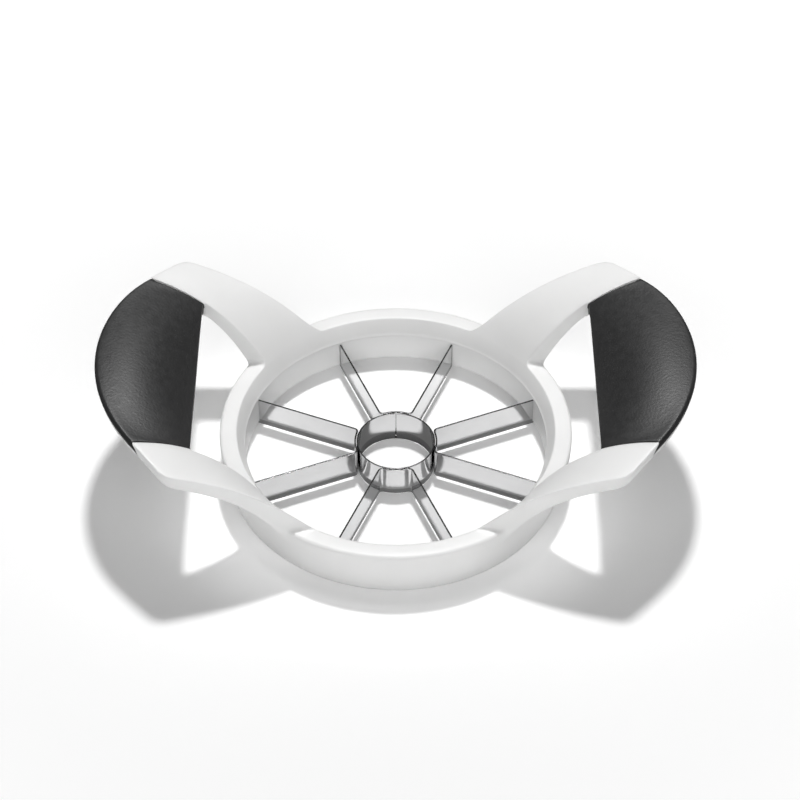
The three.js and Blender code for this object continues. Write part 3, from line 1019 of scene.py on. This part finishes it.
studio = {
    "cameraPlace": (0.00127, -0.50114, 0.52341),
    "cameraTilt": radians(45.36),
    "lens": 105.5,
    "keyPlace": (0.028, 0.332, 1.0),  # small and near, so the shadows have soft edges
    "keySize": 0.095,
    "keyPower": 7.75,
    "fillPlace": (0.0, -1.6, 1.2),
    "fillSize": 2.4,
    "fillPower": 22.6,
    "ambient": 0.03,
    "tubeShade": 0.0034,  # reach of a shadow drawn on the floor inside the tube, for polished faces only
    "overhead": 0.22,  # what polished faces see high up, where the room is darker
    "horizon": (-0.02, 0.03),  # where it gets darker
    "paintedReflectionFade": (0.056, 0.12, 1.0, 0.2),  # painted reflection: glossy rays see the floor painted white near the object and darker from 56 to 120 mm out, standing in for a darker room
    "shadeDepth": 0.42,
    "shadeBorder": (0.0004, 0.0002),
    # a glow drawn on the floor stands in for the light that the white ring throws into its own shadow;
    # each row has the two places between which it changes, and some have the glow at each
    "glowInside": (0.015, 0.035, 0.13, 0.05),
    "glowBefore": (-0.05, -0.035, 0.04, 0.13),
    "glowAcross": (0.047, 0.049),
    "glowAtRing": (0.0545, 0.0585),
    "glowThrown": 0.16,
    "glowEnd": (0.06, 0.082),
    "glowNear": 0.03,
    "glowFar": (0.1, 0.6, 0.0, 1.0),
}


def makeCamera():
    bpy.ops.object.camera_add(location=studio["cameraPlace"], rotation=(studio["cameraTilt"], 0, 0))
    camera = nameNew("camera")
    camera.data.lens = studio["lens"]
    camera.data.sensor_width = 36
    camera.data.clip_start, camera.data.clip_end = 0.01, 20
    scene.camera = camera


def makeFloor():
    bpy.ops.mesh.primitive_plane_add(size=8)
    floor = nameNew("floor")
    material, shader, place = startMaterial("pale_floor", Roughness=0.9)
    shader.inputs["Specular IOR Level"].default_value = 0.0
    rays = addNode(material, "ShaderNodeLightPath")
    away = addNode(material, "ShaderNodeVectorMath", {0: place}, operation="LENGTH").outputs["Value"]
    # painted reflection: for glossy rays only, the floor is painted darker further out
    paintedFade = stepped(material, away, *studio["paintedReflectionFade"])
    # painted shadow: for glossy rays only, a crescent of floor inside the tube is painted darker, reaching in
    # from the back
    shifted = addNode(material, "ShaderNodeVectorMath", {0: place}, operation="ADD")
    shifted.inputs[1].default_value = (0, studio["tubeShade"], 0)
    fromShade = addNode(material, "ShaderNodeVectorMath", {0: shifted.outputs["Vector"]}, operation="LENGTH")
    tube = corer["radius"] - corer["wall"]
    soft, past = studio["shadeBorder"]
    shade = stepped(material, fromShade.outputs["Value"], tube - soft, tube + past, 0.0, studio["shadeDepth"])
    within = stepped(material, away, corer["radius"], corer["radius"] + soft, 1.0, 0.0)
    mirrored = calculate(material, "SUBTRACT", paintedFade, calculate(material, "MULTIPLY", shade, within))
    unseen = forRays(material, rays, "Is Glossy Ray", mirrored, 1.0)
    colour = forRays(material, rays, "Is Camera Ray", 1.0, unseen)
    spot = addNode(material, "ShaderNodeSeparateXYZ", {"Vector": place})
    # painted light: for the camera only, a glow painted on the floor in and round the ring stands in for the
    # light the white ring throws into its own shadow; the far glow keeps the floor white
    inside = stepped(material, spot.outputs["Y"], *studio["glowInside"])
    before = stepped(material, spot.outputs["Y"], *studio["glowBefore"])
    beside = stepped(material, away, *studio["glowAcross"], inside, before)
    thrown = stepped(material, away, *studio["glowAtRing"], beside, studio["glowThrown"])
    near = stepped(material, away, *studio["glowEnd"], thrown, studio["glowNear"])
    both = calculate(material, "ADD", near, stepped(material, away, *studio["glowFar"]))
    glow = calculate(material, "MULTIPLY", rays.outputs["Is Camera Ray"], both)
    shader.inputs["Emission Color"].default_value = (1, 1, 1, 1)
    join(material, shader, Base_Color=colour, Emission_Strength=glow)
    floor.data.materials.append(material)


def addLamp(name, place, size, power):
    bpy.ops.object.light_add(type="AREA", location=place)
    lamp = nameNew(name)
    lamp.rotation_mode = "QUATERNION"
    lamp.rotation_quaternion = Vector(place).to_track_quat("Z", "Y")
    lamp.data.shape = "DISK"
    lamp.data.size = size
    lamp.data.energy = power
    return lamp


def makeLights():
    addLamp("key_light", studio["keyPlace"], studio["keySize"], studio["keyPower"])
    fill = addLamp("fill_light", studio["fillPlace"], studio["fillSize"], studio["fillPower"])
    fill.visible_glossy = False  # it softens the shadows but leaves no highlight
    world = bpy.data.worlds.new("studio")
    scene.world = world
    world.use_nodes = True
    background = world.node_tree.nodes["Background"]
    background.inputs["Color"].default_value = (1, 1, 1, 1)
    rays = addNode(world, "ShaderNodeLightPath")
    way = addNode(world, "ShaderNodeTexCoord")
    height = addNode(world, "ShaderNodeSeparateXYZ", {"Vector": way.outputs["Generated"]})
    dome = between(world, height.outputs["Z"], *studio["horizon"], 1.0, studio["overhead"])
    unseen = forRays(world, rays, "Is Glossy Ray", dome, studio["ambient"])
    seen = forRays(world, rays, "Is Camera Ray", 1.0, unseen)
    world.node_tree.links.new(seen, background.inputs["Strength"])


makeCamera()
makeFloor()
makeLights()
print("camera, floor and lights placed")

white, softBlack = makeWhitePlastic(), makeSoftBlack()
bladeSteel = makeSteel("blade_steel", strip["low"], strip["groundHeight"], strip["high"])
tubeSteel = makeSteel("tube_steel", corer["low"], corer["groundHeight"], corer["high"], seam=True)

moulding = makeMoulding()
finishPiece(moulding, white, "white_plastic", "frame")
print("moulding:", len(moulding.data.polygons), "faces")

blades = makeStrip()
for name, angle in (("back", pi / 2), ("left", pi), ("front", -pi / 2)):
    turned = turnedCopy(blades, "blade_pair_" + name, angle)
    finishPiece(turned, bladeSteel, "polished_steel", "blade_strip_" + name)
finishPiece(blades, bladeSteel, "polished_steel", "blade_strip_right")
finishPiece(makeCorer(), tubeSteel, "polished_steel", "corer_tube")
print("blades and coring tube made")

finishPiece(makeCarrier(), white, "white_plastic", "blade_carrier_ring")
print("blade carrier made")

grip = makeGrip()
finishPiece(mirroredCopy(grip, "grip_pad_left"), softBlack, "soft_black", "grip_left")
finishPiece(grip, softBlack, "soft_black", "grip_right")
print("grips made")

bpy.context.view_layer.update()
